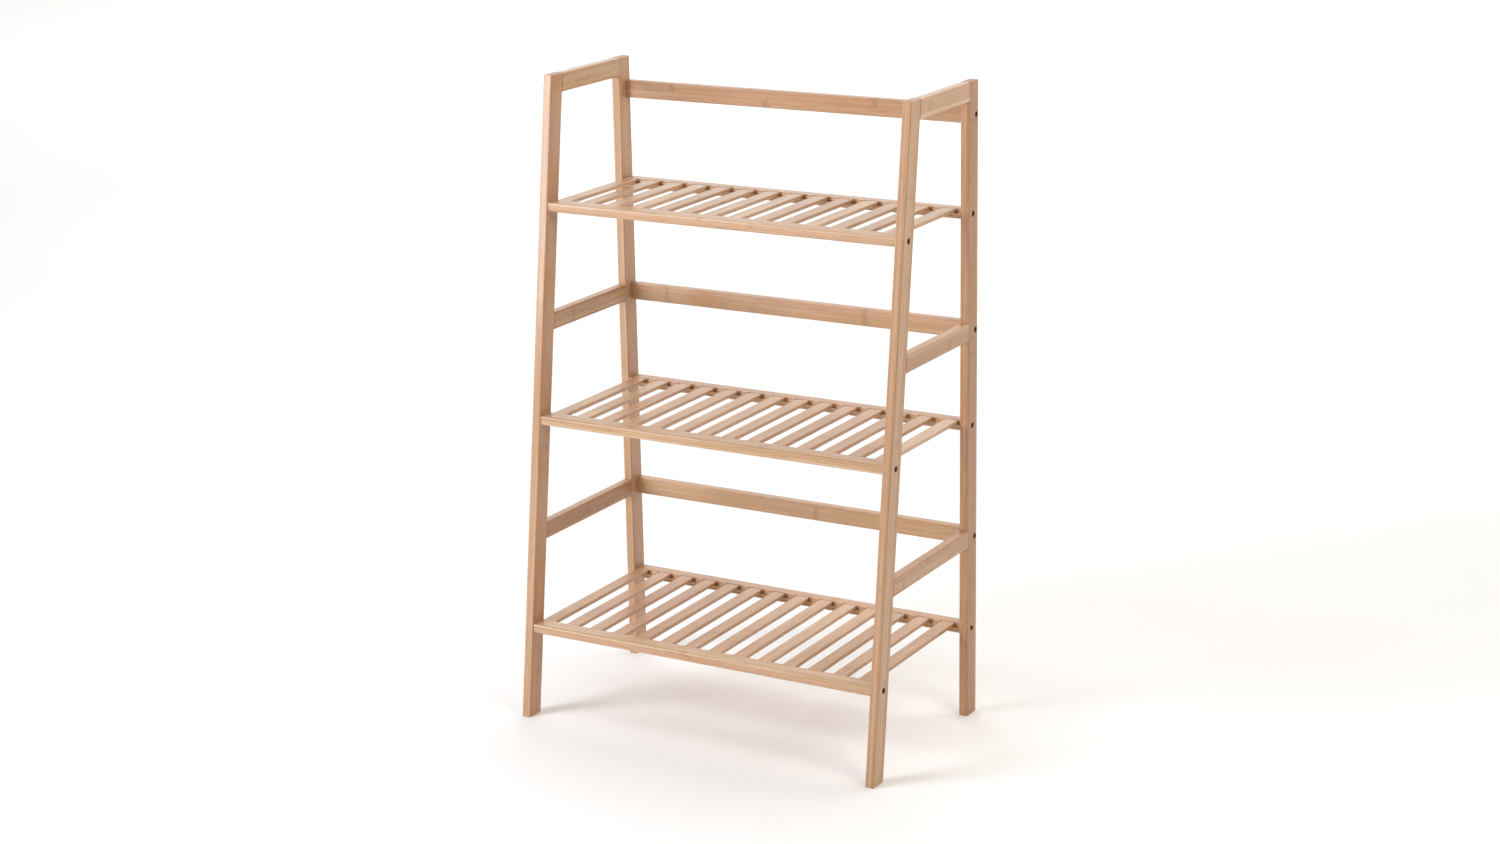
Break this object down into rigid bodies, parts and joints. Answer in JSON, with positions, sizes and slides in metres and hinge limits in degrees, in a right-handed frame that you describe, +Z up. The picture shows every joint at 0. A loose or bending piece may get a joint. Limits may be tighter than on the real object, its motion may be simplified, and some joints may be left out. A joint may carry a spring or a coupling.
{
  "type": "shoe rack",
  "caption": "Tiered bamboo shoe rack: two ladder-shaped side frames with sloping front legs, slatted shelves and back rails, held by recessed bolts.",
  "frame": {"origin": "on the floor, at the middle of the footprint: halfway across the width and halfway between the front feet's front edge and the back legs' back face", "axes": "+X to the right, +Y from the open front to the back, +Z up"},
  "size_m": [0.594, 0.334, 0.95],
  "materials": {
    "bamboo_frame": "clear satin lacquer over laminated bamboo board",
    "bamboo_slats": "clear satin lacquer over solid bamboo strip",
    "bolt_steel": "dark bronze-coloured plating, satin",
    "dowel_wood": "bare fluted-dowel hardwood"
  },
  "bodies": {
    "root": {"left_front_leg": "bamboo_frame", "left_back_leg": "bamboo_frame", "left_top_rail": "bamboo_frame", "left_upper_side_rail": "bamboo_frame", "left_lower_side_rail": "bamboo_frame", "left_frame_dowels": "dowel_wood", "right_front_leg": "bamboo_frame", "right_back_leg": "bamboo_frame", "right_top_rail": "bamboo_frame", "right_upper_side_rail": "bamboo_frame", "right_lower_side_rail": "bamboo_frame", "right_frame_dowels": "dowel_wood", "bottom_back_rail": "bamboo_frame", "bottom_shelf_front_rail": "bamboo_frame", "bottom_shelf_back_rail": "bamboo_frame", "bottom_shelf_slats_1_2": "bamboo_slats", "bottom_shelf_slats_3_4": "bamboo_slats", "bottom_shelf_slats_5_6": "bamboo_slats", "bottom_shelf_slats_7_8": "bamboo_slats", "bottom_shelf_slats_9_10": "bamboo_slats", "bottom_shelf_slats_11_12": "bamboo_slats", "bottom_shelf_slats_13_14": "bamboo_slats", "middle_back_rail": "bamboo_frame", "middle_shelf_front_rail": "bamboo_frame", "middle_shelf_back_rail": "bamboo_frame", "middle_shelf_slats_1_2": "bamboo_slats", "middle_shelf_slats_3_4": "bamboo_slats", "middle_shelf_slats_5_6": "bamboo_slats", "middle_shelf_slats_7_8": "bamboo_slats", "middle_shelf_slats_9_10": "bamboo_slats", "middle_shelf_slats_11_12": "bamboo_slats", "middle_shelf_slats_13_14": "bamboo_slats", "top_back_rail": "bamboo_frame", "top_shelf_front_rail": "bamboo_frame", "top_shelf_back_rail": "bamboo_frame", "top_shelf_slats_1_2": "bamboo_slats", "top_shelf_slats_3_4": "bamboo_slats", "top_shelf_slats_5_6": "bamboo_slats", "top_shelf_slats_7_8": "bamboo_slats", "top_shelf_slats_9_10": "bamboo_slats", "top_shelf_slats_11_12": "bamboo_slats", "top_shelf_slats_13_14": "bamboo_slats", "frame_bolts": "bolt_steel", "rail_end_inserts": "bolt_steel", "back_rail_pins": "dowel_wood"}
  },
  "joints": []
}
